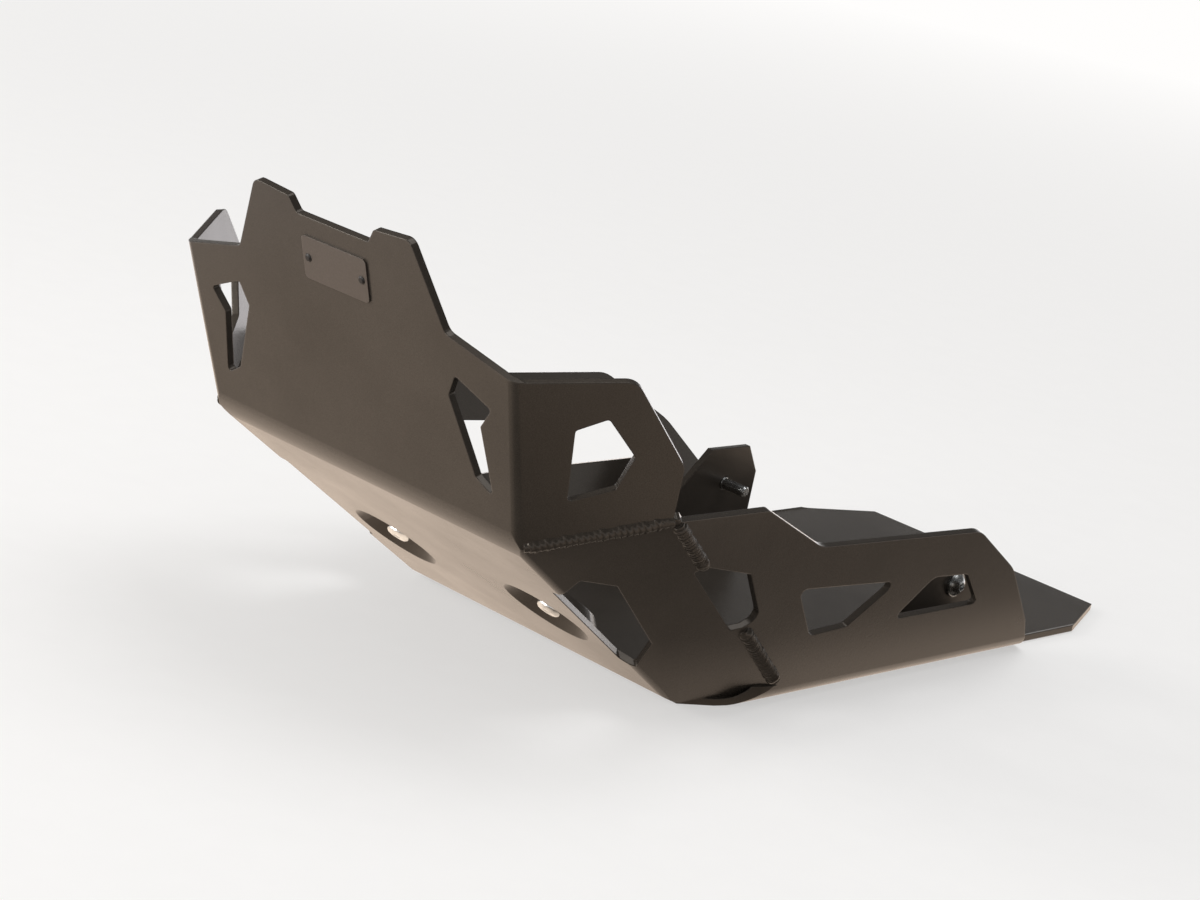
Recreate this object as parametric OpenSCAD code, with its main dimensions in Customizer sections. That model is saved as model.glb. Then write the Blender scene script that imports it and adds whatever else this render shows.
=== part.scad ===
// Motorcycle skid plate: one folded and welded aluminium sheet under the engine.
// Millimetres, +Z up, the bike's front faces -Y, the bike's left side is +X.
// Origin: centre of the overall length and width, on the underside of the flat bottom.
// The panels are laid out from the fold between bottom and nose, then moved there.

/* [Sheet] */
// thickness of the aluminium sheet
sheet_t = 4; // [2:0.5:6]
// outside radius of the sharp side folds
fold_r = 8; // [5:0.5:14]
// outside radius of the folds between bottom and side walls
wall_fold_r = 16; // [8:0.5:24]
// outside radius of the soft bend across each cheek
cheek_fold_r = 180; // [120:5:260]
// outside radius of the soft fold between nose and front panel
nose_fold_r = 38; // [20:1:60]
// outside radius of the soft fold between bottom and nose
keel_fold_r = 44; // [20:1:60]

/* [Bottom] */
// half width of the bottom to the corner of the side folds
bottom_half_w = 121.5; // [90:0.5:150]
// half width of the bottom's rear tongue
tongue_half_w = 113; // [80:1:145]
// half width of the bottom where the nose begins
keel_half_w = 100; // [70:1:140]
// rearward reach of the side walls
wall_len = 312; // [200:1:400]
// rearward reach of the bottom tongue
bottom_len = 434; // [340:1:520]
// length of each tongue corner cut
tongue_cut_l = 56; // [10:1:80]
// width of each tongue corner cut
tongue_cut_w = 22; // [5:1:50]
// distance behind the nose fold where the side fold starts
lip_start = 27; // [15:1:60]

/* [Nose] */
// forward reach of the nose panel
nose_run = 163; // [120:1:220]
// rise of the nose panel
nose_rise = 109; // [70:1:150]
// half width at the top of the nose panel
nose_half_w = 113; // [80:1:150]

/* [Front panel] */
// height of the shoulders along the front panel
front_h = 95; // [60:1:140]
// forward lean of the front panel from upright, degrees
front_lean = 20.7; // [5:0.1:35]
// half width at the shoulders
front_half_w = 120; // [90:1:160]
// height of the inner shoulder ends along the front panel
shoulder_h = 106; // [80:1:140]
// half width of the inner shoulder ends
shoulder_half_w = 75.5; // [60:0.5:100]
// height of the two top tabs along the front panel
tab_h = 149; // [120:1:180]
// half width over the two top tabs
tab_half_w = 56.5; // [40:0.5:80]
// half width of the notch between the tabs at its top
notch_top_half_w = 31; // [15:1:45]
// half width of the notch floor
notch_half_w = 26; // [10:1:40]
// height of the notch floor along the front panel
notch_h = 139; // [110:1:160]

/* [Wings] */
// distance of the wing's top rear corner outward from the shoulder
wing_out = 31.5; // [20:0.5:60]
// distance of the wing's top rear corner back from the shoulder
wing_in = 43.8; // [25:0.1:70]
// rise of the wing's top rear corner above the shoulder
wing_up = 7.7; // [0:0.1:20]
// top rear corner of the wing, back from the front fold
wing_top = 59.3; // [40:0.1:75]
// drop of that corner below the shoulder, along the fold
wing_drop = 5.9; // [0:0.1:20]
// rear corner of the wing, back from the front fold
wing_back = 82.4; // [60:0.1:100]
// height of the rear corner of the wing along the fold
wing_back_h = 38.7; // [20:0.1:60]
// radius of the wing's corners
wing_r = 10; // [3:0.5:16]

/* [Side walls] */
// outward position of the point where the three side panels meet
meet_x = 160.1; // [140:0.1:190]
// height of the point where the three side panels meet
meet_z = 135; // [110:1:160]
// rearward position of the lower end of the rear seam
seam_foot = 75; // [50:1:120]
// height of the front part of the wall along its slope
wall_front_h = 139.8; // [110:0.1:170]
// position where the wall top starts to drop
wall_drop_a = -32; // [-60:1:0]
// position where the wall top stops dropping
wall_drop_b = 32; // [10:1:60]
// height of the rear part of the wall at its front
wall_mid_h = 109.7; // [80:0.1:140]
// height of the rear part of the wall at its rear
wall_rear_h = 103.2; // [80:0.1:140]
// position of the wall's upper rear corner
wall_rear_y = 184.7; // [150:0.1:240]
// position of the wall's middle rear corner
wall_knee_y = 243.5; // [210:0.1:290]
// height of the wall's middle rear corner
wall_knee_h = 70.1; // [40:0.1:90]
// height of the wall's lower rear corner
wall_toe_h = 25.6; // [12:0.1:40]
// distance of the wall's lower rear corner ahead of its rear end
wall_toe_l = 20; // [8:1:40]

/* [Pressed bolt pockets] */
// half distance between the two pockets
pocket_x = 58.5; // [40:0.5:80]
// distance of the pockets up the nose panel
pocket_u = 81; // [50:1:120]
// pocket diameter at the outer face
pocket_d = 53; // [40:1:70]
// pocket floor diameter
pocket_floor_d = 40; // [24:1:56]
// depth of the pockets
pocket_depth = 7; // [4:0.5:12]

/* [Fasteners] */
// nominal diameter of the mounting bolts
bolt_d = 8; // [6:1:10]
// pitch diameter of their threads, drawn plain
thread_d = 7.2; // [5:0.1:9.2]
// button head diameter
head_d = 14; // [10:0.5:20]
// button head height
head_h = 4.4; // [3:0.1:6]
// socket width across flats
socket_af = 5; // [3:0.5:8]
// socket depth
socket_depth = 2.6; // [1.5:0.1:4]
// shank length of the front bolts
front_bolt_len = 28; // [16:1:50]
// shank length of the rear bolts
rear_bolt_len = 24; // [14:1:40]
// washer outside diameter
washer_d = 16; // [14:0.5:24]
// washer thickness
washer_t = 1.6; // [1:0.1:3]
// clearance on diameter of the bolt holes
hole_clearance = 0.6; // [0.2:0.1:2]
// plain shank of a bolt past the parts it clamps
grip_over = 0.6; // [0.2:0.1:3]

/* [Rear mounting lugs] */
// distance of the outer lug faces from the centre plane
lug_x = 95; // [70:1:105]
// rearward position of the bolt in the lug
lug_bolt_y = 258; // [220:1:290]
// height of the bolt in the lug
lug_bolt_z = 39; // [26:1:50]
// length of the lug
lug_len = 80; // [50:1:120]
// height of the lug top
lug_h = 63; // [50:1:80]
// thickness of the lug
lug_t = 4; // [3:0.5:8]

/* [Name plate] */
// width of the blank name plate
plate_w = 47; // [30:1:70]
// height of the blank name plate
plate_h = 23.5; // [15:0.5:35]
// thickness of the blank name plate
plate_t = 1; // [0.5:0.1:2]
// height of its centre along the front panel
plate_v = 117; // [100:1:130]
// distance between the two rivets
rivet_pitch = 39; // [20:1:60]
// rivet shank diameter
rivet_d = 3.2; // [2:0.1:5]
// rivet head diameter
rivet_head_d = 4.6; // [3:0.1:8]
// rivet head height
rivet_head_h = 0.9; // [0.4:0.1:2]

/* [Welds] */
// radius of the weld bead
bead_r = 3.2; // [2:0.1:5]
// depth of the bead centre below the outer corner
bead_sink = 1.9; // [0.5:0.1:3]

/* [Hidden] */
fn = 64;
slack = 2.5;
thin = 0.8;

// corner points on the bike's left side
pk = [keel_half_w, 0, 0];
pq = [bottom_half_w, seam_foot, 0];
pn = [nose_half_w, -nose_run, nose_rise];
pf = [front_half_w, -nose_run - front_h * sin(front_lean), nose_rise + front_h * cos(front_lean)];
pw = pf + [wing_out, wing_in, wing_up];

function unit(v) = v / norm(v);
function plane(a, b, c) = unit(cross(b - a, c - a));
// outward normals of the panels
n_b = [0, 0, -1];
n_l = unit([0, -nose_rise, -nose_run]);
n_f = [0, -cos(front_lean), -sin(front_lean)];
n_w1 = -plane(pn, pf, pw);
// the three side panels meet on the plane of the wing
pm = [meet_x, pn[1] - ((meet_x - pn[0]) * n_w1[0] + (meet_z - pn[2]) * n_w1[2]) / n_w1[1], meet_z];
n_w2 = plane(pn, pk, pm);
n_w2b = plane(pk, pq, pm);
n_w3 = unit(cross([0, 1, 0], pm - [bottom_half_w, 0, 0]));
nose_l = norm([nose_run, nose_rise]);
wall_h = norm([meet_x - bottom_half_w, meet_z]);
wall_knee = [wall_knee_y, wall_knee_h];
wall_toe = [wall_len - wall_toe_l, wall_toe_h];
// the origin sits under the middle of the overall length
mid_y = (bottom_len - nose_run - tab_h * sin(front_lean)) / 2;

// frame with its z axis along n, its x axis along e, at point o
module at(o, e, n) {
    x = unit(e);
    y = cross(n, x);
    multmatrix([[x[0], y[0], n[0], o[0]],
                [x[1], y[1], n[1], o[1]],
                [x[2], y[2], n[2], o[2]],
                [0, 0, 0, 1]]) children();
}

module placed() {
    translate([0, -mid_y, 0]) children();
}

module both() {
    children();
    mirror([1, 0, 0]) children();
}

// frames of the panels, z outward
module on_front() at([0, -nose_run, nose_rise], [1, 0, 0], n_f) children();
module on_nose() at([0, 0, 0], [1, 0, 0], n_l) children();
module on_wing() at(pn, cross(n_w1, pf - pn) * -1, n_w1) children();
module on_cheek() at(pn, pk - pn, n_w2) children();
module on_wall() at([bottom_half_w, 0, 0], [0, 1, 0], n_w3) children();

// solid on the inner side of a plane, sunk by d
module inside_of(o, n, d) {
    e = abs(n[0]) > 0.9 ? [0, 1, 0] : [1, 0, 0];
    at(o - n * d, cross(n, e), n) translate([-700, -700, -700]) cube([1400, 1400, 700]);
}

// removes the corner outside a fold of radius r between planes a and b
// the fold meets each panel at a slight angle, so it cuts cleanly
module fold_cut(p, q, a, b, r, d, over = 4, ease = 0.003) {
    c = a * b;
    e = unit(q - p);
    o = p - (a + b) * r / (1 + c) - e * over;
    y = unit(b - a * c);
    k = (r - d) * (1 + ease) + 0.02;
    s = acos(c);
    m = k / cos(s / 2) + 8;
    multmatrix([[a[0], y[0], e[0], o[0]],
                [a[1], y[1], e[1], o[1]],
                [a[2], y[2], e[2], o[2]],
                [0, 0, 0, 1]])
    difference() {
        linear_extrude(norm(q - p) + 2 * over)
            polygon([[0, 0], [m, 0], [m * cos(s / 2) * 1.3, m * sin(s / 2) * 1.3],
                     [m * cos(s), m * sin(s)]]);
        translate([0, 0, -1]) cylinder(h = norm(q - p) + 2 * over + 2, r = k, $fn = 128);
    }
}

// everything inside the outer skin, sunk by d
module body(d) {
    difference() {
        intersection() {
            translate([-300, -400, d]) cube([600, 400 + bottom_len + 20 + d, 400 + d]);
            inside_of([0, 0, 0], n_l, d);
            inside_of([0, -nose_run, nose_rise], n_f, d);
            inside_of(pn, n_w1, d);
            inside_of(pn, n_w2, d);
            inside_of(pk, n_w2b, d);
            inside_of(pq, n_w3, d);
            mirror([1, 0, 0]) inside_of(pn, n_w1, d);
            mirror([1, 0, 0]) inside_of(pn, n_w2, d);
            mirror([1, 0, 0]) inside_of(pk, n_w2b, d);
            mirror([1, 0, 0]) inside_of(pq, n_w3, d);
        }
        fold_cut([-nose_half_w, -nose_run, nose_rise], pn, n_l, n_f, nose_fold_r, d, 12);
        fold_cut([-keel_half_w, 0, 0], pk, n_b, n_l, keel_fold_r, d, 12);
        both() fold_cut(pn, pf, n_f, n_w1, fold_r, d);
        both() fold_cut(pk, pn, n_l, n_w2, fold_r, d);
        // the cheek's bend is so soft that only its outer skin is rounded
        if (d == 0) both() fold_cut(pk, pm, n_w2, n_w2b, cheek_fold_r, 0, 2, 0.0008);
        both() fold_cut([bottom_half_w, seam_foot - 34, 0], [bottom_half_w, bottom_len, 0],
                        n_b, n_w3, wall_fold_r, d);
    }
}

// side fold running forward under the lower end of the rear seam
module lip_body(d) {
    difference() {
        intersection() {
            translate([0, -20, d]) cube([300, 20 + seam_foot + 12, 40]);
            inside_of(pq, n_w3, d);
        }
        fold_cut([bottom_half_w, -20, 0], [bottom_half_w, seam_foot + 12, 0],
                 n_b, n_w3, wall_fold_r, d);
    }
}

module lip() {
    w = bottom_half_w;
    intersection() {
        difference() {
            lip_body(0);
            lip_body(sheet_t);
        }
        translate([0, 0, -1]) linear_extrude(wall_fold_r - 2)
            polygon([[keel_half_w - 12, 4], [keel_half_w + 1, 4], [w - 8.7, lip_start],
                     [w - 2, lip_start + 8], [w + 2, lip_start + 20], [w + 8, seam_foot],
                     [w + 8, seam_foot + 4], [keel_half_w - 12, seam_foot + 4]]);
    }
}

// points of the arc that rounds the corner p between the directions a and b
function arc(p, a, b, r, k) =
    let (h = acos(a * b) / 2, c = p + unit(a + b) * r / sin(h),
         u = (p + a * r / tan(h) - c) / r, v = unit(p - c), w = 90 - h,
         s = unit(u - v * cos(w)))
    [for (j = [0 : k]) c + r * (v * cos(w * (1 - 2 * j / k)) + s * sin(w * (1 - 2 * j / k)))];

// corner points with each corner rounded by r, one radius or one for each corner
function rounded(pts, r, k = 6) =
    let (n = len(pts))
    [for (i = [0 : n - 1]) let (q = is_list(r) ? r[i] : r)
        each q == 0 ? [pts[i]]
            : arc(pts[i], unit(pts[(i + n - 1) % n] - pts[i]), unit(pts[(i + 1) % n] - pts[i]),
                  q, k)];

module soft(pts, r, k = 6) {
    polygon(rounded(pts, r, k));
}

module front_outline() {
    r = [[front_half_w + 4, -30], [front_half_w + 4, front_h - 1], [front_half_w, front_h],
         [shoulder_half_w, shoulder_h], [tab_half_w, tab_h], [notch_top_half_w, tab_h - 2],
         [notch_half_w, notch_h]];
    l = [for (i = [len(r) - 1 : -1 : 0]) [-r[i][0], r[i][1]]];
    soft(concat(r, l), [0, 0, 0, 6, 5.5, 2.5, 2.5, 2.5, 2.5, 5.5, 6, 0, 0, 0], 4);
}

module keep_front() {
    on_front() {
        translate([0, 0, -sheet_t - thin]) linear_extrude(sheet_t + thin + 1)
            front_outline();
        translate([-nose_half_w - 6, -30, -sheet_t - slack])
            cube([2 * nose_half_w + 12, 80, sheet_t + slack + 1]);
    }
}

module keep_nose() {
    on_nose() translate([-nose_half_w - 8, -12, -sheet_t - slack])
        cube([2 * nose_half_w + 16, nose_l + 24, sheet_t + slack + 1]);
}

module keep_bottom() {
    t = tongue_half_w;
    translate([0, 0, -1]) linear_extrude(sheet_t + slack + 1) polygon([
        [-bottom_half_w - 14, -24], [bottom_half_w + 14, -24],
        [bottom_half_w + 14, wall_len], [t, wall_len], [t, bottom_len - tongue_cut_l],
        [t - tongue_cut_w, bottom_len], [-t + tongue_cut_w, bottom_len],
        [-t, bottom_len - tongue_cut_l], [-t, wall_len], [-bottom_half_w - 14, wall_len]]);
}

module keep_fold() {
    translate([bottom_half_w - wall_fold_r - 2, lip_start, -1])
        cube([wall_fold_r + 12, wall_len - lip_start, wall_fold_r + 1]);
}

// x of this frame runs rearward, y up along the front fold
module keep_wing() {
    on_wing() translate([0, 0, -sheet_t - thin]) linear_extrude(sheet_t + thin + 1)
        soft([[-5, -8], [-5, front_h], [0, front_h], [wing_top, front_h - wing_drop],
              [wing_back, wing_back_h], [wing_back - 5.4, 9], [wing_back - 8, -8]],
             [0, 0, 0, wing_r, wing_r, 0, 0]);
}

// position of a point in the frame of the cheek
function cheek_xy(p) =
    let (x = unit(pk - pn), y = cross(n_w2, x)) [(p - pn) * x, (p - pn) * y];

module keep_cheek() {
    a = cheek_xy(pn);
    b = cheek_xy(pk);
    c = cheek_xy(pq);
    d = cheek_xy(pm);
    on_cheek() translate([0, 0, -sheet_t - 24]) linear_extrude(sheet_t + 25)
        polygon([a + [-4, -6], b + [2, -6], c + [6, -3], c + [2, 2], d + [0.5, 1.8],
                 d + [-1.5, 0.8], a + [-4, 1]]);
}

// x of this frame runs rearward, y up the wall
module keep_wall() {
    on_wall() translate([0, 0, -sheet_t - thin]) linear_extrude(sheet_t + thin + 8)
        soft([[pm[1] - 1, wall_h], [wall_drop_a, wall_front_h], [wall_drop_b, wall_mid_h],
              [wall_rear_y, wall_rear_h], wall_knee,
              wall_toe + 0.3 * (wall_toe - wall_knee), [wall_len + 20, -2], [seam_foot - 20, -2],
              [(pm[1] + seam_foot) / 2 - 20, wall_h / 2]],
             [0, 8, 30, 28, 60, 0, 0, 0, 0]);
}

// slanted rear end of the side wall and its fold
module rear_trim() {
    z = wall_toe_h * n_w3[0];
    k = (wall_toe_l + 0.8) / (z + 1);
    translate([tongue_half_w, 0, 0]) rotate([90, 0, 90]) linear_extrude(80)
        polygon([[wall_len - wall_toe_l - 9 * k, z + 9], [wall_len + 0.8, -1],
                 [wall_len + 0.8, -6], [wall_len + 60, -6], [wall_len + 60, z + 9]]);
}

module front_window() {
    soft([[103.6, 74.4], [79.9, 84.9], [74.1, 72.5], [88.3, 32.3], [99.8, 24.8], [94.9, 62.4]],
         1.8);
}

module wing_window() {
    soft([[29.4, 65.5], [45.6, 70], [58.3, 47], [48.9, 29.9], [25, 25.3]], 2);
}

module cheek_window() {
    soft([[56, -5], [47.1, 13.3], [64.8, 25.9], [130.8, 17.2], [146, 1.7], [141, -5]], 1.5);
}

module seam_window() {
    soft([[-67, 103.6], [-62.3, 108.2], [-20.5, 98.6], [7.6, 66.7], [-9.8, 59]],
         [1.5, 1.5, 4, 5.4, 2]);
}

module wall_windows() {
    soft([[31.1, 81.9], [125, 75.8], [96.1, 48.2], [63.8, 46.4]], [3, 4.4, 2.5, 10]);
    soft([[139.6, 46.9], [160.3, 74.1], [195.2, 72], [223.9, 47.2]], [3.5, 9, 8, 2.2]);
}

module window_cuts() {
    on_front() translate([0, 0, -12]) linear_extrude(24) front_window();
    on_wing() translate([0, 0, -12]) linear_extrude(24) wing_window();
    on_cheek() translate([0, 0, -14]) linear_extrude(24) cheek_window();
    on_wall() translate([0, 0, -14]) linear_extrude(28) seam_window();
    on_wall() translate([0, 0, -12]) linear_extrude(24) wall_windows();
}

module pocket_place() {
    on_nose() translate([pocket_x, pocket_u, 0]) rotate([180, 0, 0]) children();
}

module boss() {
    pocket_place() translate([0, 0, sheet_t - 1])
        cylinder(h = pocket_depth + 1, d1 = pocket_d + 9, d2 = pocket_floor_d + 7, $fn = 96);
}

module recess() {
    pocket_place() {
        translate([0, 0, -0.01])
            cylinder(h = pocket_depth + 0.01, d1 = pocket_d, d2 = pocket_floor_d, $fn = 96);
        translate([0, 0, -5]) cylinder(h = 5, d = pocket_d, $fn = 96);
        cylinder(h = 40, d = bolt_d + hole_clearance, $fn = fn);
    }
}

module bead(a, b, n) {
    e = b - a;
    x = abs(n[0]) > 0.5 ? cross([0, 1, 0], e) : cross([1, 0, 0], e);
    at(a - n * bead_sink, x, unit(e)) cylinder(h = norm(e), r = bead_r, $fn = fn);
}

function mix(a, b, f) = a * (1 - f) + b * f;

module beads() {
    nu = unit(n_w1 + n_w2);
    nr = unit(n_w2b + n_w3);
    bead(mix(pn, pm, 0.05), mix(pn, pm, 0.985), nu);
    bead(mix(pm, pq, 0.02), mix(pm, pq, 0.235), nr);
    bead(mix(pm, pq, 0.58), mix(pm, pq, 0.88), nr);
}

module skid_plate() {
    color("#2f2b29") placed()
    difference() {
        union() {
            intersection() {
                difference() {
                    body(0);
                    body(sheet_t);
                }
                union() {
                    keep_front();
                    keep_nose();
                    keep_bottom();
                    both() keep_fold();
                    both() keep_wing();
                    both() keep_cheek();
                    both() keep_wall();
                }
            }
            both() lip();
            both() boss();
            both() beads();
        }
        both() recess();
        both() rear_trim();
        both() window_cuts();
        both() on_front() translate([rivet_pitch / 2, plate_v, -sheet_t - 1])
            cylinder(h = sheet_t + 2, d = rivet_d, $fn = fn);
    }
}

// upright lug, welded by its foot to the inner face of the bottom
module rear_lug() {
    y0 = lug_bolt_y - lug_len * 0.62;
    difference() {
        translate([lug_x - lug_t, 0, 0]) rotate([90, 0, 90]) linear_extrude(lug_t)
            polygon([[y0, sheet_t], [y0 + lug_len, sheet_t], [y0 + lug_len, lug_h - 18],
                     [y0 + lug_len - 12, lug_h], [y0 + 30, lug_h], [y0, lug_h - 30]]);
        translate([lug_x - lug_t - 1, lug_bolt_y, lug_bolt_z]) rotate([0, 90, 0])
            cylinder(h = lug_t + 2, d = bolt_d + hole_clearance, $fn = fn);
    }
}

module rear_lugs() {
    color("#332e2b") placed() both() rear_lug();
}

// button head bolt, head underside at z 0, plain shank over the grip, then its thread
module bolt(len, grip) {
    dome_r = (head_d * head_d / 4 + head_h * head_h) / (2 * head_h);
    difference() {
        union() {
            translate([0, 0, -grip]) cylinder(h = grip, d = bolt_d, $fn = fn);
            translate([0, 0, 1 - len]) cylinder(h = len - 1, d = thread_d, $fn = fn);
            translate([0, 0, -len]) cylinder(h = 1, d1 = thread_d - 1.6, d2 = thread_d, $fn = fn);
            intersection() {
                cylinder(h = head_h, d = head_d, $fn = fn);
                translate([0, 0, head_h - dome_r - 0.4]) sphere(r = dome_r + 0.4, $fn = 96);
            }
        }
        translate([0, 0, head_h - socket_depth])
            cylinder(h = socket_depth + 1, d = socket_af / cos(30), $fn = 6);
    }
}

module front_bolts() {
    color("#c9c7c2") placed() both() pocket_place() translate([0, 0, pocket_depth])
        rotate([180, 0, 0]) bolt(front_bolt_len, sheet_t + grip_over + 0.4);
}

module rear_bolts() {
    color("#c9c7c2") placed() both() translate([lug_x + washer_t, lug_bolt_y, lug_bolt_z])
        rotate([0, 90, 0]) bolt(rear_bolt_len, washer_t + lug_t + grip_over - 0.2);
}

module rear_washers() {
    color("#b9b7b2") placed() both() translate([lug_x, lug_bolt_y, lug_bolt_z]) rotate([0, 90, 0])
        difference() {
            cylinder(h = washer_t, d = washer_d, $fn = fn);
            translate([0, 0, -1]) cylinder(h = washer_t + 2, d = bolt_d + 0.4, $fn = fn);
        }
}

module name_plate() {
    color("#1d1b1a") placed() on_front() difference() {
        linear_extrude(plate_t)
            soft([[-plate_w / 2, plate_v - plate_h / 2], [plate_w / 2, plate_v - plate_h / 2],
                  [plate_w / 2, plate_v + plate_h / 2], [-plate_w / 2, plate_v + plate_h / 2]],
                 2.5);
        for (s = [-1, 1]) translate([s * rivet_pitch / 2, plate_v, -1])
            cylinder(h = plate_t + 2, d = rivet_d, $fn = fn);
    }
}

module rivets() {
    color("#262322") placed() both() on_front() translate([rivet_pitch / 2, plate_v, 0]) {
        translate([0, 0, -sheet_t - 1.2]) cylinder(h = sheet_t + 1.2 + plate_t, d = rivet_d, $fn = fn);
        translate([0, 0, plate_t])
            cylinder(h = rivet_head_h, d1 = rivet_head_d, d2 = rivet_head_d * 0.6, $fn = fn);
        translate([0, 0, -sheet_t - 1.2])
            cylinder(h = 1.2, d = rivet_head_d + 0.6, $fn = fn);
    }
}

skid_plate();
rear_lugs();
front_bolts();
rear_bolts();
rear_washers();
name_plate();
rivets();
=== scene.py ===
"""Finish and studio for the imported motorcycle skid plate."""
import random
from math import atan2, cos, exp, hypot, radians, sin, tau

import bmesh
import bpy
from bpy.props import FloatProperty, FloatVectorProperty
from mathutils import Matrix, Vector


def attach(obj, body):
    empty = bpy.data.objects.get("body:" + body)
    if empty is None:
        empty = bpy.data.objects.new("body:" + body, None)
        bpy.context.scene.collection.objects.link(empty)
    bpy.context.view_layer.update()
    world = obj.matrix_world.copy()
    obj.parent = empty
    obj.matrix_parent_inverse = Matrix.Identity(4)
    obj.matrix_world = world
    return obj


bl_info = {
    "name": "Motorcycle skid plate",
    "version": (1, 0, 0),
    "blender": (4, 5, 0),
    "location": "View3D > Sidebar > Skid plate",
    "description": "Coat, welds, fasteners and studio for a packed skid plate",
    "category": "Add Mesh",
}

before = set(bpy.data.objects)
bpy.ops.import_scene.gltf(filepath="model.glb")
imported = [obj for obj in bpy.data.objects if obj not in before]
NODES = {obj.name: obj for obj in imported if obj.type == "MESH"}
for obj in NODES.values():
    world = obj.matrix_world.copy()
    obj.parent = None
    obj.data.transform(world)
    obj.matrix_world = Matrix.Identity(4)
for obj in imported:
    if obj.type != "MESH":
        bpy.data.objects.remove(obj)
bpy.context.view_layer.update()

SIDES = ((1, "left"), (-1, "right"))
MM = 0.001
TINY = 1e-6
PLAIN = (1, 1, 1)
WARM = (1, 0.97, 0.93)
OFF_WHITE = (1, 0.99, 0.98, 1)
FAR_WHITE = (1, 0.97, 0.99, 1)

# shift from the layout of the sheet to the part's own frame, metres
MID_Y = 0.109166
# corner points of the sheet on its left side, in the layout's millimetres
NOSE_CORNER = (113, -163, 109)
MEETING_POINT = (160.1, -104.708, 135)
SEAM_FOOT = (121.5, 75, 0)
KEEL_CORNER = (100, 0, 0)
WING_CORNER = (151.5, -152.78, 205.567)
SHOULDER = (120, -196.58, 197.867)
# centre of the left pocket on the outer skin of the nose panel, and the pocket's depth
POCKET = (58.5, -67.33, 45.02)
POCKET_DEPTH = 7

# where each weld run starts and ends, as shares of its seam's length
WING_RUN = (0.05, 0.985)
UPPER_RUN = (0.02, 0.235)
LOWER_RUN = (0.58, 0.88)
# the lower run is laid thicker, over the start of the bottom's side fold
LOWER_SINK = 0.4
WELD_SEED = 7
# a bead's points round it, rings of points to each ripple, and draws past its last ripple
BEAD_SIDES, RINGS_PER_RIPPLE, SPARE_DRAWS = 28, 8, 4
# pitches by which a ripple's sides trail its middle, and the power by which it falls off
CRESCENT, RIPPLE_FALL = 0.7, 0.7
# how much ripples differ in height and in width, and how fast the width sways, per ripple
UNEVEN_HEIGHT, UNEVEN_WIDTH, SWAY = 0.25, 0.05, 2.1
# a bead's height over its width, and the least width of its ends, squared
FLATNESS, BLUNT_END = 0.92, 0.25
# a crater's distance from the run's end, its length and its width, in bead radii
CRATER_INSET, CRATER_LENGTH, CRATER_WIDTH = 1.4, 0.8, 0.6

# a bolt head from the edge of its seat up, in shares of its radius and of its height
HEAD_PROFILE = ((1, 0), (1, 0.62), (0.93, 0.84), (0.76, 0.97), (0.62, 1))
HEAD_STEPS = 72
# a socket's bevelled rim in half key widths, the bevel's drop and the socket's depth, metres
RIM_RADIUS, RIM_DROP, SOCKET_DEPTH = 1.3, 0.0003, 0.0028

# the floor disc's radius, points round it and drop under the part, metres
FLOOR_RADIUS, FLOOR_POINTS, FLOOR_DROP = 14, 96, 0.0003
# share of the floor's colour that it gives back to the part as light
BOUNCED = 0.35
# painted reflection: the floor as the coat mirrors it is tan up to NEAR and white from FAR on,
# metres from its middle
NEAR, FAR = 0.5, 0.8
# gain of the painted reflection of the floor: across it, in metres past a line on the right of the
# part, where it paints a dim shadow band, and along it, in metres past a line in front of the
# part, where it paints highlights up to 1.9
ACROSS_GAIN = ((0.34, 1), (0.5, 0.86), (0.58, 0.6), (0.605, 0.45), (0.628, 0.2), (0.72, 0.16),
               (0.8, 0.7))
ALONG_GAIN = ((0.16, 0.95), (0.26, 1.45), (0.4, 1.45), (0.5, 1.9))
ALONG_START = 0.5

# the camera's place in the layout in metres, its angles in degrees and its lens in millimetres
CAMERA_PLACE = (0.9589, -1.1325, 0.5150)
CAMERA_TURN, CAMERA_LIFT, CAMERA_ROLL = 39.78, 15.15, 11.68
LENS, SENSOR_WIDTH, CLIP_END = 84, 36, 60


def linear(value):
    """sRGB hex to linear RGBA."""
    text = value.lstrip("#")
    parts = [int(text[i:i + 2], 16) / 255 for i in (0, 2, 4)]
    return tuple(c / 12.92 if c <= 0.04045 else ((c + 0.055) / 1.055) ** 2.4
                 for c in parts) + (1.0,)


def point(p, side=1):
    """A layout point in millimetres as a point of the part in metres."""
    return Vector((side * p[0], p[1], p[2])) * MM - Vector((0, MID_Y, 0))


def shade(colour, gain):
    """One colour made darker or brighter."""
    return tuple(c * gain for c in colour[:3]) + (1.0,)


def shades(colour, *gains):
    """Ramp stops of one colour, from pairs of a place and a gain."""
    return [(place, shade(colour, gain)) for place, gain in gains]


def add(tree, kind, settings=None, stops=(), **links):
    """Adds a node: settings are attributes, stops are a ramp's, links are inputs by name or iN."""
    node = tree.nodes.new(kind)
    for key, value in (settings or {}).items():
        setattr(node, key, value)
    for i, (place, colour) in enumerate(stops):
        ramp = node.color_ramp.elements
        element = ramp[i] if i < len(ramp) else ramp.new(place)
        element.position, element.color = place, colour
    for key, value in links.items():
        name = int(key[1:]) if key[0] == "i" and key[1:].isdigit() else key.replace("_", " ")
        if isinstance(value, bpy.types.NodeSocket):
            tree.links.new(value, node.inputs[name])
        else:
            node.inputs[name].default_value = value
    return node


def new_material(name):
    """An empty node material and its tree."""
    material = bpy.data.materials.new(name)
    material.use_nodes = True
    material.node_tree.nodes.clear()
    return material, material.node_tree


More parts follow.
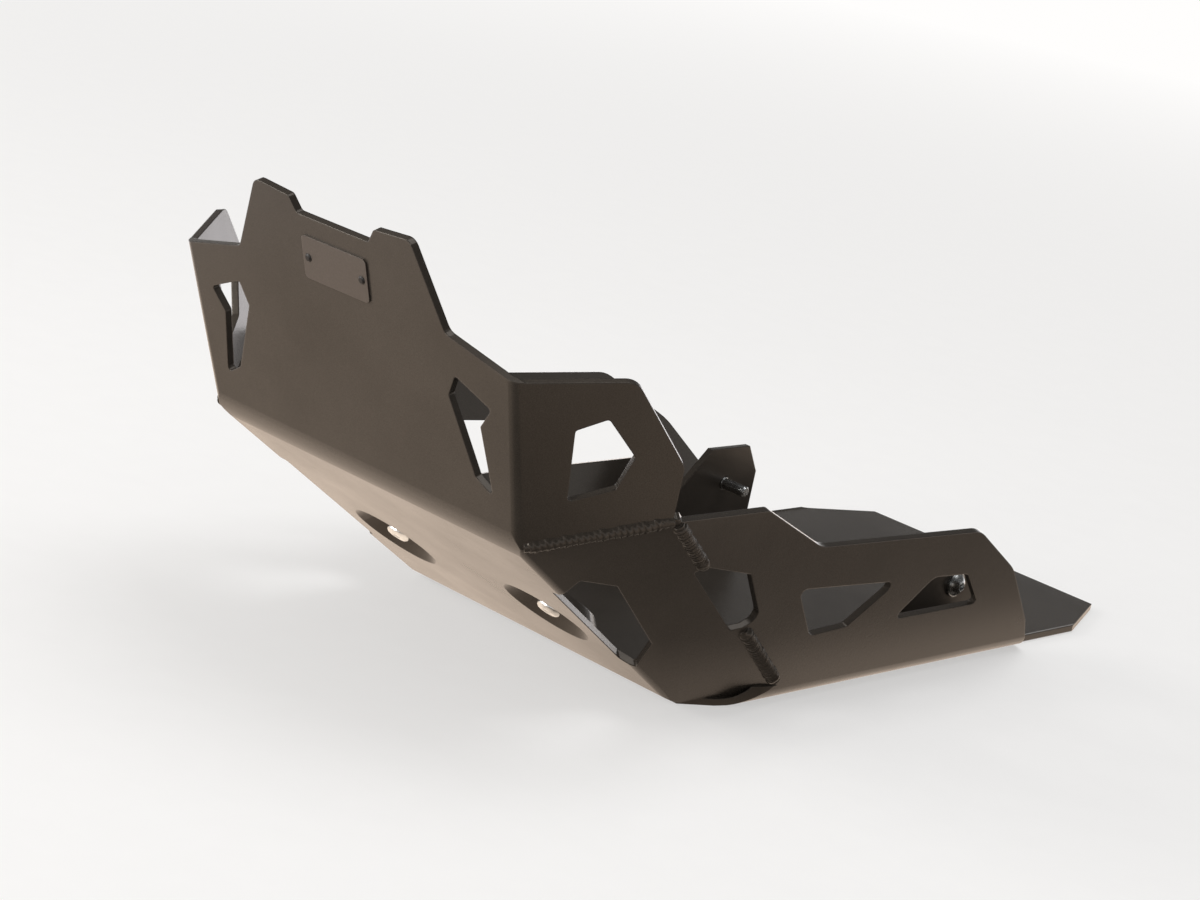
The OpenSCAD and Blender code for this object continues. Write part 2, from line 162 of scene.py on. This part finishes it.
def powder_coat(look):
    """Baked polyester powder: satin brown-black, with the soft orange peel of the melted coat."""
    material, tree = new_material("black powder coat on aluminium")
    place = add(tree, "ShaderNodeTexCoord").outputs["Object"]
    # the pigment grain is drawn coarser than its real 0.1 mm, so that it shows
    grain = add(tree, "ShaderNodeTexNoise", Vector=place, Scale=1 / look.grain, Detail=2.0,
                Roughness=0.6)
    # orange peel of about 2 mm, and slow thick and thin places of about 60 mm
    peel = add(tree, "ShaderNodeTexNoise", Vector=place, Scale=1 / look.peel, Detail=2.0,
               Roughness=0.5)
    cloud = add(tree, "ShaderNodeTexNoise", Vector=place, Scale=16.0, Detail=4.0, Roughness=0.6)
    tint = add(tree, "ShaderNodeValToRGB", Fac=cloud.outputs["Fac"],
               stops=shades(look.colour, (0.3, 0.86), (0.52, 1), (0.75, 1.16)))
    speck = add(tree, "ShaderNodeValToRGB", Fac=grain.outputs["Fac"],
                stops=shades(PLAIN, (0.32, 0.8), (0.7, 1.2)))
    colour = add(tree, "ShaderNodeMix", {"data_type": "RGBA", "blend_type": "MULTIPLY"},
                 i0=1.0, i6=tint.outputs[0], i7=speck.outputs[0])
    rough = add(tree, "ShaderNodeMapRange", Value=cloud.outputs["Fac"], From_Min=0.3,
                From_Max=0.7, To_Min=look.roughness - 0.03, To_Max=look.roughness + 0.04)
    edge = add(tree, "ShaderNodeBevel", {"samples": 8}, Radius=look.edge_round)
    ripple = add(tree, "ShaderNodeBump", Strength=0.18, Distance=0.0002,
                 Height=peel.outputs["Fac"], Normal=edge.outputs[0])
    bump = add(tree, "ShaderNodeBump", Strength=0.3, Distance=0.00006,
               Height=grain.outputs["Fac"], Normal=ripple.outputs[0])
    shader = add(tree, "ShaderNodeBsdfPrincipled", Base_Color=colour.outputs[2],
                 Roughness=rough.outputs[0], Normal=bump.outputs[0], IOR=1.5,
                 Specular_IOR_Level=look.gloss, Specular_Tint=(1.0, 0.9, 0.8, 1.0))
    add(tree, "ShaderNodeOutputMaterial", Surface=shader.outputs[0])
    return material


def bolt_steel(look):
    """Stainless steel, cold headed and tumbled: bright, with fine scuffs and softened edges."""
    material, tree = new_material("tumbled stainless bolt steel")
    place = add(tree, "ShaderNodeTexCoord").outputs["Object"]
    # scuffs of about 0.4 mm, and darker blots of about 3 mm where grease stays
    fine = add(tree, "ShaderNodeTexNoise", Vector=place, Scale=2400.0, Detail=3.0, Roughness=0.6)
    blot = add(tree, "ShaderNodeTexNoise", Vector=place, Scale=330.0, Detail=4.0, Roughness=0.6)
    tint = add(tree, "ShaderNodeValToRGB", Fac=blot.outputs["Fac"],
               stops=shades(look.colour, (0.3, 0.72), (0.55, 1), (0.8, 1.08)))
    rough = add(tree, "ShaderNodeMapRange", Value=fine.outputs["Fac"], From_Min=0.25,
                From_Max=0.75, To_Min=look.roughness - 0.07, To_Max=look.roughness + 0.1)
    edge = add(tree, "ShaderNodeBevel", {"samples": 6}, Radius=0.0003)
    bump = add(tree, "ShaderNodeBump", Strength=0.25, Distance=0.00004,
               Height=fine.outputs["Fac"], Normal=edge.outputs[0])
    shader = add(tree, "ShaderNodeBsdfPrincipled", Base_Color=tint.outputs[0],
                 Roughness=rough.outputs[0], Normal=bump.outputs[0], Metallic=1.0)
    add(tree, "ShaderNodeOutputMaterial", Surface=shader.outputs[0])
    return material


def badge_lacquer(look):
    """Stoved black lacquer on a stamped aluminium plate, smoother than the coat around it."""
    material, tree = new_material("black lacquered aluminium plate")
    place = add(tree, "ShaderNodeTexCoord").outputs["Object"]
    # specks of about 1 mm, drawn coarser than the real ones, so that they show
    fine = add(tree, "ShaderNodeTexNoise", Vector=place, Scale=900.0, Detail=2.0, Roughness=0.5)
    tint = add(tree, "ShaderNodeValToRGB", Fac=fine.outputs["Fac"],
               stops=shades(look.colour, (0.35, 0.88), (0.7, 1.12)))
    rough = add(tree, "ShaderNodeMapRange", Value=fine.outputs["Fac"], From_Min=0.3,
                From_Max=0.7, To_Min=look.roughness - 0.04, To_Max=look.roughness + 0.04)
    edge = add(tree, "ShaderNodeBevel", {"samples": 6}, Radius=0.0003)
    bump = add(tree, "ShaderNodeBump", Strength=0.2, Distance=0.00003,
               Height=fine.outputs["Fac"], Normal=edge.outputs[0])
    shader = add(tree, "ShaderNodeBsdfPrincipled", Base_Color=tint.outputs[0],
                 Roughness=rough.outputs[0], Normal=bump.outputs[0], IOR=1.5,
                 Specular_Tint=(1.0, 0.92, 0.84, 1.0))
    add(tree, "ShaderNodeOutputMaterial", Surface=shader.outputs[0])
    return material


def rivet_black(look):
    """Blackened steel rivets: a dark oxide skin that lets a little of the metal's shine by."""
    material, tree = new_material("blackened steel rivet")
    place = add(tree, "ShaderNodeTexCoord").outputs["Object"]
    # marks of about 0.7 mm where the rivet was set
    fine = add(tree, "ShaderNodeTexNoise", Vector=place, Scale=1500.0, Detail=2.0)
    tint = add(tree, "ShaderNodeValToRGB", Fac=fine.outputs["Fac"],
               stops=shades(look.rivet, (0.3, 0.8), (0.75, 1.5)))
    edge = add(tree, "ShaderNodeBevel", {"samples": 6}, Radius=0.0003)
    shader = add(tree, "ShaderNodeBsdfPrincipled", Base_Color=tint.outputs[0], Roughness=0.45,
                 Metallic=0.3, Normal=edge.outputs[0])
    add(tree, "ShaderNodeOutputMaterial", Surface=shader.outputs[0])
    return material


def matt_paper(look):
    """Matt paper: pale to the camera, dim where it only bounces, and a warm painted reflection in
    the coat's mirror.
    """
    material, tree = new_material("matt paper floor")
    place = add(tree, "ShaderNodeTexCoord").outputs["Object"]
    path = add(tree, "ShaderNodeLightPath")
    camera_ray = path.outputs["Is Camera Ray"]
    # clumps of fibre of about 25 mm
    fibre = add(tree, "ShaderNodeTexNoise", Vector=place, Scale=40.0, Detail=3.0)
    pale = add(tree, "ShaderNodeValToRGB", Fac=fibre.outputs["Fac"],
               stops=shades(look.floor, (0.3, 1), (0.7, 1.02)))
    paper = add(tree, "ShaderNodeMix", {"data_type": "RGBA"}, i0=camera_ray,
                i6=shade(look.floor, BOUNCED), i7=pale.outputs[0])
    matt = add(tree, "ShaderNodeBsdfPrincipled", Base_Color=paper.outputs[2],
               Roughness=0.95, Specular_IOR_Level=0.1)
    # what the camera sees of the paper is partly plain white, and wholly so from 4 m away
    away = add(tree, "ShaderNodeVectorMath", {"operation": "LENGTH"}, i0=place)
    white = add(tree, "ShaderNodeEmission", Color=OFF_WHITE, Strength=1.0)
    fade = add(tree, "ShaderNodeMapRange", Value=away.outputs["Value"], From_Min=FAR,
               From_Max=4.0, To_Min=0.5, To_Max=1.0)
    thin = add(tree, "ShaderNodeMath", {"operation": "MULTIPLY"}, i0=camera_ray,
               i1=fade.outputs[0])
    sheet = add(tree, "ShaderNodeMixShader", i0=thin.outputs[0], i1=matt.outputs[0],
                i2=white.outputs[0])
    # painted reflection: in the mirror the floor is tan and brightened under the part, with a
    # painted shadow along its left side, which stands 35 mm further out behind the cheeks than in
    # front of them, and white far away
    tan = add(tree, "ShaderNodeValToRGB", Fac=away.outputs["Value"],
              stops=((NEAR, shade(look.painted_reflection_tint, 1)), (FAR, FAR_WHITE)))
    axes = add(tree, "ShaderNodeSeparateXYZ", Vector=place)
    wider = add(tree, "ShaderNodeMapRange", Value=axes.outputs["Y"], From_Min=-0.13,
                From_Max=-0.03, To_Min=-0.5, To_Max=-0.465)
    reach = add(tree, "ShaderNodeMath", {"operation": "SUBTRACT"}, i0=axes.outputs["X"],
                i1=wider.outputs[0])
    across = add(tree, "ShaderNodeValToRGB", Fac=reach.outputs[0],
                 stops=shades(PLAIN, *ACROSS_GAIN))
    behind = add(tree, "ShaderNodeMath", {"operation": "ADD"}, i0=axes.outputs["Y"],
                 i1=ALONG_START)
    along = add(tree, "ShaderNodeValToRGB", Fac=behind.outputs[0],
                stops=shades(PLAIN, *ALONG_GAIN))
    # painted highlight: the far floor in the mirror is made up to 1.3 times brighter
    past = add(tree, "ShaderNodeMapRange", Value=away.outputs["Value"], From_Min=NEAR,
               From_Max=FAR, To_Min=1.0, To_Max=1.3)
    under = add(tree, "ShaderNodeMath", {"operation": "MULTIPLY"}, i0=across.outputs[0],
                i1=along.outputs[0])
    gain = add(tree, "ShaderNodeMath", {"operation": "MULTIPLY"}, i0=under.outputs[0],
               i1=past.outputs[0])
    painted_reflection_glow = add(tree, "ShaderNodeEmission", Color=tan.outputs[0], Strength=gain.outputs[0])
    mirror = add(tree, "ShaderNodeMath", {"operation": "MAXIMUM"},
                 i0=path.outputs["Is Glossy Ray"], i1=path.outputs["Is Transmission Ray"])
    both = add(tree, "ShaderNodeMixShader", i0=mirror.outputs[0], i1=sheet.outputs[0],
               i2=painted_reflection_glow.outputs[0])
    add(tree, "ShaderNodeOutputMaterial", Surface=both.outputs[0])
    return material


def give(names, material):
    """Puts one material on CAD nodes."""
    for name in names:
        slots = NODES[name].data.materials
        slots.clear()
        slots.append(material)


def new_piece(name, bm, material):
    """Makes a bmesh into a piece with smooth faces that point outwards."""
    bm.normal_update()
    bmesh.ops.recalc_face_normals(bm, faces=bm.faces)
    mesh = bpy.data.meshes.new(name)
    bm.to_mesh(mesh)
    bm.free()
    for face in mesh.polygons:
        face.use_smooth = True
    piece = bpy.data.objects.new(name, mesh)
    bpy.context.scene.collection.objects.link(piece)
    mesh.materials.append(material)
    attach(piece, "root")


def rippled_bead(bm, start, end, outward, look, draw):
    """One weld bead: a tube with overlapping crescents and a dented crater at its end."""
    along = end - start
    length = along.length
    along.normalize()
    side = outward.cross(along).normalized()
    up = along.cross(side)
    bmesh.ops.create_cone(bm, cap_ends=True, segments=BEAD_SIDES, radius1=look.bead,
                          radius2=look.bead, depth=length)
    long_edges = [e for e in bm.edges
                  if abs(e.verts[0].co.z - e.verts[1].co.z) > length / 2]
    bmesh.ops.subdivide_edges(bm, edges=long_edges, use_grid_fill=True,
                              cuts=int(length / look.ripple * RINGS_PER_RIPPLE))
    wobble = [draw.uniform(-1, 1) for _ in range(int(length / look.ripple) + SPARE_DRAWS)]
    for v in bm.verts:
        s = v.co.z + length / 2
        across, height = v.co.x / look.bead, v.co.y / look.bead
        turn = s / look.ripple + CRESCENT * across * across
        k = min(int(turn), len(wobble) - 1)
        part = turn - int(turn)
        rise = look.ripple_height * (1 + UNEVEN_HEIGHT * wobble[k]) \
            * (1 - part) ** RIPPLE_FALL * max(height, 0) ** 0.5
        spread = 1 + UNEVEN_WIDTH * wobble[k] + UNEVEN_WIDTH * sin(s / look.ripple * SWAY)
        taper = min(1, max(s, TINY) / look.bead, max(length - s, TINY) / look.bead)
        taper = max(BLUNT_END, taper * (2 - taper)) ** 0.5
        inset = (length - s - CRATER_INSET * look.bead) / (CRATER_LENGTH * look.bead)
        dent = inset ** 2 + (across / CRATER_WIDTH) ** 2
        crater = look.crater * exp(-dent) if height > 0 else 0
        x = v.co.x * spread * taper
        y = (v.co.y * FLATNESS + rise) * taper - crater
        v.co = start + along * s + side * x + up * y


def socket_head(bm, look):
    """Bolt head with a hexagon socket, from its seat at z 0 up."""
    top, wide, key = look.head_height, look.head_radius, look.key_width / 2
    floor = top - SOCKET_DEPTH
    outline = [(0, 0)] + [(wide * r, top * h) for r, h in HEAD_PROFILE] \
        + [(key * RIM_RADIUS, top), (key, top - RIM_DROP), (key, floor), (0, floor)]
    verts = [bm.verts.new((r, 0, h)) for r, h in outline]
    edges = [bm.edges.new(pair) for pair in zip(verts, verts[1:])]
    bmesh.ops.spin(bm, geom=verts + edges, cent=(0, 0, 0), axis=(0, 0, 1), angle=tau,
                   steps=HEAD_STEPS, use_merge=True)
    bmesh.ops.remove_doubles(bm, verts=bm.verts, dist=TINY)
    # the round wall of the socket is pushed out to six flats
    for v in bm.verts:
        if abs(hypot(v.co.x, v.co.y) - key) < TINY:
            off = atan2(v.co.y, v.co.x) % (tau / 6) - tau / 12
            v.co.x, v.co.y = v.co.x / cos(off), v.co.y / cos(off)


class SheetLook(bpy.types.PropertyGroup):
    """Coat of the folded sheet"""
    colour: FloatVectorProperty(name="Coat colour", description="Colour of the powder coat",
                                subtype="COLOR", default=linear("#39342f")[:3], min=0, max=1)
    roughness: FloatProperty(name="Roughness", description="Roughness of the coat",
                             default=0.24, min=0.1, max=1)
    gloss: FloatProperty(name="Gloss", description="Mirror share of the coat", default=0.36,
                         min=0, max=1)
    grain: FloatProperty(name="Grain", description="Size of the pigment grain",
                         default=0.0005, min=0.0001, max=0.004, unit="LENGTH")
    peel: FloatProperty(name="Orange peel", description="Size of the coat's soft waves",
                        default=0.0022, min=0.0005, max=0.01, unit="LENGTH")
    edge_round: FloatProperty(name="Edge rounding", description="Rounding of the cut edges",
                              default=0.0009, min=0, max=0.003, unit="LENGTH")


class WeldLook(bpy.types.PropertyGroup):
    """Sizes of the weld beads"""
    bead: FloatProperty(name="Bead radius", description="Radius of the weld bead",
                        default=0.0041, min=0.001, max=0.006, unit="LENGTH")
    ripple: FloatProperty(name="Ripple pitch", description="Distance between two ripples",
                          default=0.0030, min=0.001, max=0.006, unit="LENGTH")
    ripple_height: FloatProperty(name="Ripple height", description="Height of a ripple",
                                 default=0.0010, min=0, max=0.002, unit="LENGTH")
    crater: FloatProperty(name="Crater depth", description="Dent where a weld run ends",
                          default=0.0013, min=0, max=0.003, unit="LENGTH")
    sink: FloatProperty(name="Sink", description="Depth of the bead centre under the seam",
                        default=0.0024, min=0, max=0.004, unit="LENGTH")


class FastenerLook(bpy.types.PropertyGroup):
    """Steel of the bolts and washers, and sizes of the front bolts' heads"""
    colour: FloatVectorProperty(name="Steel colour", description="Colour of bolts and washers",
                                subtype="COLOR", default=linear("#d6d8d8")[:3], min=0, max=1)
    roughness: FloatProperty(name="Roughness", description="Roughness of the steel",
                             default=0.22, min=0.1, max=1)
    head_height: FloatProperty(name="Head height", description="Height of a front bolt's head",
                               default=0.0066, min=0.004, max=0.007, unit="LENGTH")
    head_radius: FloatProperty(name="Head radius", description="Radius of a front bolt's head",
                               default=0.0071, min=0.007, max=0.009, unit="LENGTH")
    key_width: FloatProperty(name="Key width", description="Width of the socket across flats",
                             default=0.005, min=0.003, max=0.007, unit="LENGTH")


class BadgeLook(bpy.types.PropertyGroup):
    """Name plate and its rivets"""
    colour: FloatVectorProperty(name="Lacquer colour", description="Colour of the name plate",
                                subtype="COLOR", default=linear("#463f3a")[:3], min=0, max=1)
    rivet: FloatVectorProperty(name="Rivet colour", description="Colour of the rivets",
                               subtype="COLOR", default=linear("#171412")[:3], min=0, max=1)
    roughness: FloatProperty(name="Roughness", description="Roughness of the lacquer",
                             default=0.38, min=0.1, max=1)


class StageLook(bpy.types.PropertyGroup):
    """Floor, lamps and surround"""
    floor: FloatVectorProperty(name="Floor", description="Floor colour", subtype="COLOR",
                               default=(0.88, 0.88, 0.88), min=0, max=1)
    # painted reflection: the tan that the coat mirrors from the floor near the part, not the
    # floor's own colour
    painted_reflection_tint: FloatVectorProperty(name="Mirrored floor", subtype="COLOR", min=0, max=1,
                                  description="Floor colour near the part, as the coat mirrors it",
                                  default=(1.0, 0.82, 0.67))
    key: FloatProperty(name="Key lamp", description="Power of the key lamp", default=58,
                       min=0, max=500, subtype="POWER")
    low: FloatProperty(name="Low lamp", description="Power of the low front lamp", default=26,
                       min=0, max=500, subtype="POWER")
    top: FloatProperty(name="Top lamp", description="Power of the top lamp", default=24,
                       min=0, max=500, subtype="POWER")
    surround: FloatProperty(name="Surround", description="Strength of the surround light",
                            default=0.42, min=0, max=3)


class SKID_OT_sheet(bpy.types.Operator):
    """Powder-coat the folded sheet and its lugs"""
    bl_idname = "skid.sheet"
    bl_label = "Coated sheet"

    def execute(self, context):
        give(("skid_plate", "rear_lugs"), powder_coat(context.scene.skid_sheet))
        return {"FINISHED"}


class SKID_OT_welds(bpy.types.Operator):
    """Lay the rippled weld beads along the four seams"""
    bl_idname = "skid.welds"
    bl_label = "Weld beads"

    def execute(self, context):
        look = context.scene.skid_weld
        coat = NODES["skid_plate"].data.materials[0]
        draw = random.Random(WELD_SEED)
        for side, word in SIDES:
            corner, meet = point(NOSE_CORNER, side), point(MEETING_POINT, side)
            foot, keel = point(SEAM_FOOT, side), point(KEEL_CORNER, side)
            wing, shoulder = point(WING_CORNER, side), point(SHOULDER, side)
            # outward directions of the four panels that meet at the seams
            n_wing = side * (wing - corner).cross(shoulder - corner).normalized()
            n_cheek = side * (keel - corner).cross(meet - corner).normalized()
            n_rear = side * (foot - keel).cross(meet - keel).normalized()
            rise = meet - Vector((foot.x, meet.y, 0))
            n_wall = side * Vector((0, 1, 0)).cross(rise).normalized()
            runs = (("wing", corner, meet, WING_RUN, n_wing + n_cheek, 1),
                    ("upper", meet, foot, UPPER_RUN, n_rear + n_wall, 1),
                    ("lower", meet, foot, LOWER_RUN, n_rear + n_wall, LOWER_SINK))
            for run, a, b, (first, last), out, depth in runs:
                out = out.normalized()
                sunk = out * look.sink * depth
                bm = bmesh.new()
                rippled_bead(bm, a.lerp(b, first) - sunk, a.lerp(b, last) - sunk, out, look,
                             draw)
                new_piece(f"weld_{run}_{word}", bm, coat)
        return {"FINISHED"}


class SKID_OT_fasteners(bpy.types.Operator):
    """Give the bolts and washers their steel, and the front bolts their tall heads"""
    bl_idname = "skid.fasteners"
    bl_label = "Bolts and washers"

    def execute(self, context):
        look = context.scene.skid_fastener
        steel = bolt_steel(look)
        give(("front_bolts", "rear_bolts", "rear_washers"), steel)
        # the front bolts stand almost level with the panel, so their heads are drawn higher
        # than the plain ones under them
        for side, word in SIDES:
            slope = point(NOSE_CORNER, side) - point(KEEL_CORNER, side)
            out = Vector((1, 0, 0)).cross(slope).normalized()
            seat = point(POCKET, side) - out * (POCKET_DEPTH * MM)
            bm = bmesh.new()
            socket_head(bm, look)
            bm.transform(Matrix.Translation(seat)
                         @ out.to_track_quat("Z", "X").to_matrix().to_4x4())
            new_piece(f"front_bolt_head_{word}", bm, steel)
        return {"FINISHED"}


class SKID_OT_name_plate(bpy.types.Operator):
    """Lacquer the blank name plate"""
    bl_idname = "skid.name_plate"
    bl_label = "Name plate"

    def execute(self, context):
        give(("name_plate",), badge_lacquer(context.scene.skid_badge))
        return {"FINISHED"}


class SKID_OT_rivets(bpy.types.Operator):
    """Blacken the name plate's rivets"""
    bl_idname = "skid.rivets"
    bl_label = "Rivets"

    def execute(self, context):
        give(("rivets",), rivet_black(context.scene.skid_badge))
        return {"FINISHED"}


class SKID_OT_studio(bpy.types.Operator):
    """Set the pale floor, the lamps, the surround and the camera"""
    bl_idname = "skid.studio"
    bl_label = "Studio"

    def execute(self, context):
        look = context.scene.skid_stage
        self.lay_floor(context.scene, look)
        self.light_surround(context.scene, look)
        self.hang_lamps(context.scene, look)
        self.set_camera(context.scene)
        context.scene.view_settings.view_transform = "Standard"
        return {"FINISHED"}

    def lay_floor(self, scene, look):
        bm = bmesh.new()
        bmesh.ops.create_circle(bm, cap_ends=True, segments=FLOOR_POINTS, radius=FLOOR_RADIUS)
        bmesh.ops.translate(bm, verts=bm.verts, vec=(0, 0, -FLOOR_DROP))
        mesh = bpy.data.meshes.new("floor")
        bm.to_mesh(mesh)
        bm.free()
        floor = bpy.data.objects.new("floor", mesh)
        scene.collection.objects.link(floor)
        mesh.materials.append(matt_paper(look))

    def light_surround(self, scene, look):
        world = bpy.data.worlds.new("studio surround")
        scene.world = world
        world.use_nodes = True
        tree = world.node_tree
        tree.nodes.clear()
        path = add(tree, "ShaderNodeLightPath")
        mirror = add(tree, "ShaderNodeMath", {"operation": "MAXIMUM"},
                     i0=path.outputs["Is Glossy Ray"], i1=path.outputs["Is Transmission Ray"])
        seen = add(tree, "ShaderNodeMath", {"operation": "MAXIMUM"},
                   i0=path.outputs["Is Camera Ray"], i1=mirror.outputs[0])
        # painted shade: the surround that the mirror sees above is dark, which keeps the faces
        # that look up dark
        place = add(tree, "ShaderNodeTexCoord").outputs["Generated"]
        aim = add(tree, "ShaderNodeSeparateXYZ", Vector=place)
        painted_shade_above = add(tree, "ShaderNodeMapRange", Value=aim.outputs["Z"], From_Min=0.1,
                      From_Max=0.22, To_Min=1.0, To_Max=0.1)
        lit = add(tree, "ShaderNodeMix", i0=mirror.outputs[0], i2=1.0, i3=painted_shade_above.outputs[0])
        strength = add(tree, "ShaderNodeMix", i0=seen.outputs[0], i2=look.surround,
                       i3=lit.outputs[0])
        light = add(tree, "ShaderNodeBackground", Color=OFF_WHITE, Strength=strength.outputs[0])
        add(tree, "ShaderNodeOutputWorld", Surface=light.outputs[0])

    def hang_lamps(self, scene, look):
        # name, place, aimed at, size across, power and colour
        lamps = (("front soft box", (-1.9, -2.2, 0.9), (0, -0.1, 0.12), 1.6, look.key, WARM),
                 ("low soft box", (-0.3, -2.4, 0.3), (0, -0.2, 0.08), 0.8, look.low, WARM),
                 ("top soft box", (0.3, 0.4, 2.6), (0, 0, 0), 2.0, look.top, PLAIN))
        for name, place, target, size, power, colour in lamps:
            data = bpy.data.lights.new(name, "AREA")
            data.shape = "DISK"
            data.size = size
            data.energy = power
            data.color = colour
            lamp = bpy.data.objects.new(name, data)
            lamp.location = place
            aim = Vector(target) - Vector(place)
            lamp.rotation_euler = aim.to_track_quat("-Z", "Y").to_euler()
            scene.collection.objects.link(lamp)

    def set_camera(self, scene):
        turn, lift, roll = radians(CAMERA_TURN), radians(CAMERA_LIFT), radians(CAMERA_ROLL)
        back = Vector((sin(turn) * cos(lift), -cos(turn) * cos(lift), sin(lift)))
        right = (-back).cross(Vector((0, 0, 1))).normalized()
        up = right.cross(-back)
        across = right * cos(roll) + up * sin(roll)
        above = -right * sin(roll) + up * cos(roll)
        data = bpy.data.cameras.new("camera")
        data.lens = LENS
        data.sensor_width = SENSOR_WIDTH
        data.clip_end = CLIP_END
        camera = bpy.data.objects.new("camera", data)
        x, y, z = CAMERA_PLACE
        camera.matrix_world = Matrix.Translation((x, y - MID_Y, z)) @ \
            Matrix((across, above, back)).transposed().to_4x4()
        scene.collection.objects.link(camera)
        scene.camera = camera


GROUPS = {"skid_sheet": SheetLook, "skid_weld": WeldLook, "skid_fastener": FastenerLook,
          "skid_badge": BadgeLook, "skid_stage": StageLook}
STEPS = (SKID_OT_sheet, SKID_OT_welds, SKID_OT_fasteners, SKID_OT_name_plate, SKID_OT_rivets,
         SKID_OT_studio)


class SKID_PT_panel(bpy.types.Panel):
    """Sizes, colours and steps of the skid plate"""
    bl_idname = "SKID_PT_panel"
    bl_label = "Skid plate"
    bl_space_type = "VIEW_3D"
    bl_region_type = "UI"
    bl_category = "Skid plate"

    def draw(self, context):
        for group, kind in GROUPS.items():
            for key in kind.__annotations__:
                self.layout.prop(getattr(context.scene, group), key)
        for step in STEPS:
            self.layout.operator(step.bl_idname)


CLASSES = tuple(GROUPS.values()) + STEPS + (SKID_PT_panel,)


def register():
    for item in CLASSES:
        bpy.utils.register_class(item)
    for name, kind in GROUPS.items():
        setattr(bpy.types.Scene, name, bpy.props.PointerProperty(type=kind))


def unregister():
    for name in GROUPS:
        delattr(bpy.types.Scene, name)
    for item in reversed(CLASSES):
        bpy.utils.unregister_class(item)


def main():
    register()
    bpy.ops.skid.sheet()
    bpy.ops.skid.welds()
    bpy.ops.skid.fasteners()
    bpy.ops.skid.name_plate()
    bpy.ops.skid.rivets()
    bpy.ops.skid.studio()


if __name__ == "__main__":
    main()
